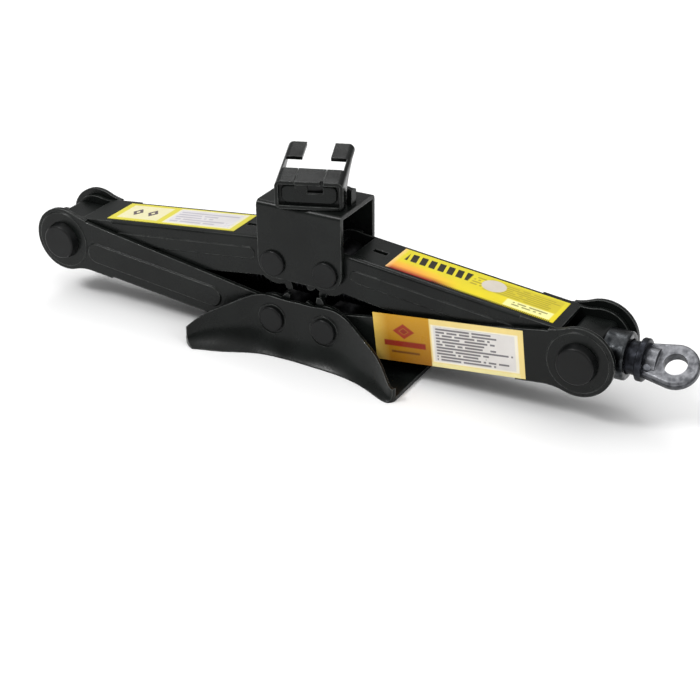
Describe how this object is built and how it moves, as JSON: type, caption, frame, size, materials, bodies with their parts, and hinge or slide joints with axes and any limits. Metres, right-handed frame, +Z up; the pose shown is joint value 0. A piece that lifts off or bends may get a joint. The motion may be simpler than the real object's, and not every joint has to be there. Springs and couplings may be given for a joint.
{
  "type": "scissor jack",
  "caption": "Folding screw scissor jack, shown folded, with geared arms, stamped base, swivelling hooked saddle and a flat eye for a hooked crank.",
  "frame": {"origin": "underside of the base, under the middle of the folded jack", "axes": "+X along the folded jack towards the drive eye, +Z up, -Y the side shown in the picture"},
  "size_m": [0.4073, 0.09, 0.113],
  "materials": {
    "black_paint": "semi-gloss black paint over stamped sheet",
    "plain_steel": "plain steel, lightly oiled",
    "screw_steel": "rolled thread, black oxide, greased",
    "dark_steel": "dark steel, oiled",
    "zinc_steel": "zinc plated",
    "forged_steel": "forged, grey phosphate",
    "label_side": "printed vinyl, amber picture panel and pale text panel",
    "label_yellow": "printed vinyl, yellow",
    "label_pale": "printed vinyl, cream with a yellow border"
  },
  "bodies": {
    "base": {"base_plate": "black_paint", "base_pin_left": "black_paint", "base_pin_right": "black_paint", "base_sleeve_left": "dark_steel", "base_sleeve_right": "dark_steel"},
    "lower_arm_left": {"lower_arm_left": "black_paint"},
    "lower_arm_right": {"lower_arm_right": "black_paint", "label_side": "label_side"},
    "upper_arm_left": {"upper_arm_left": "black_paint", "label_top_left": "label_pale"},
    "upper_arm_right": {"upper_arm_right": "black_paint", "label_top_right": "label_yellow"},
    "top_bracket": {"top_bracket": "black_paint", "bracket_pin_left": "black_paint", "bracket_pin_right": "black_paint", "bracket_sleeve_left": "dark_steel", "bracket_sleeve_right": "dark_steel", "swivel_rivet": "black_paint", "swivel_washer": "black_paint"},
    "saddle": {"load_saddle": "black_paint"},
    "nut": {"nut_trunnion": "black_paint", "nut_trunnion_caps": "black_paint"},
    "bearing": {"bearing_trunnion": "black_paint", "bearing_trunnion_caps": "black_paint", "bearing_cup": "zinc_steel", "thrust_race_fixed": "plain_steel"},
    "screw": {"lead_screw": "screw_steel", "screw_stop_ring": "dark_steel", "screw_stop_pin": "dark_steel", "drive_eye": "forged_steel", "drive_eye_pin": "plain_steel", "thrust_race_turning": "plain_steel"},
    "ball_ring": {"thrust_balls": "plain_steel", "ball_cage": "plain_steel"}
  },
  "joints": [
    {"name": "fold", "type": "hinge", "parent": "base", "child": "lower_arm_left", "pos_m": [-0.01675, 0, 0.02025], "axis": [0, 1, 0], "range_deg": [0, 60]},
    {"name": "fold_lower_right", "type": "hinge", "parent": "base", "child": "lower_arm_right", "pos_m": [0.01675, 0, 0.02025], "axis": [0, 1, 0], "range_deg": [-60, 0]},
    {"name": "fold_upper_left", "type": "hinge", "parent": "lower_arm_left", "child": "upper_arm_left", "pos_m": [-0.165, 0, 0.037], "axis": [0, 1, 0], "range_deg": [-120, 0]},
    {"name": "fold_upper_right", "type": "hinge", "parent": "lower_arm_right", "child": "upper_arm_right", "pos_m": [0.165, 0, 0.037], "axis": [0, 1, 0], "range_deg": [0, 120]},
    {"name": "bracket_level", "type": "hinge", "parent": "upper_arm_left", "child": "top_bracket", "pos_m": [-0.01675, 0, 0.05375], "axis": [0, 1, 0], "range_deg": [0, 60]},
    {"name": "nut_level", "type": "hinge", "parent": "lower_arm_left", "child": "nut", "pos_m": [-0.165, 0, 0.037], "axis": [0, 1, 0], "range_deg": [-60, 0]},
    {"name": "bearing_level", "type": "hinge", "parent": "lower_arm_right", "child": "bearing", "pos_m": [0.165, 0, 0.037], "axis": [0, 1, 0], "range_deg": [0, 60]},
    {"name": "screw_spin", "type": "hinge", "parent": "bearing", "child": "screw", "pos_m": [0.165, 0, 0.037], "axis": [1, 0, 0], "continuous": true},
    {"name": "ball_ring_spin", "type": "hinge", "parent": "bearing", "child": "ball_ring", "pos_m": [0.165, 0, 0.037], "axis": [1, 0, 0], "continuous": true},
    {"name": "saddle_swivel", "type": "hinge", "parent": "top_bracket", "child": "saddle", "pos_m": [0, 0, 0.0896], "axis": [0, 0, 1], "range_deg": [-40, 0]}
  ],
  "couplings": [
    {"joint": "fold_lower_right", "follows": "fold", "ratio": -1},
    {"joint": "fold_upper_left", "follows": "fold", "ratio": -2},
    {"joint": "fold_upper_right", "follows": "fold", "ratio": 2},
    {"joint": "bracket_level", "follows": "fold", "ratio": 1},
    {"joint": "nut_level", "follows": "fold", "ratio": -1},
    {"joint": "bearing_level", "follows": "fold", "ratio": 1},
    {"joint": "ball_ring_spin", "follows": "screw_spin", "ratio": 0.5}
  ]
}
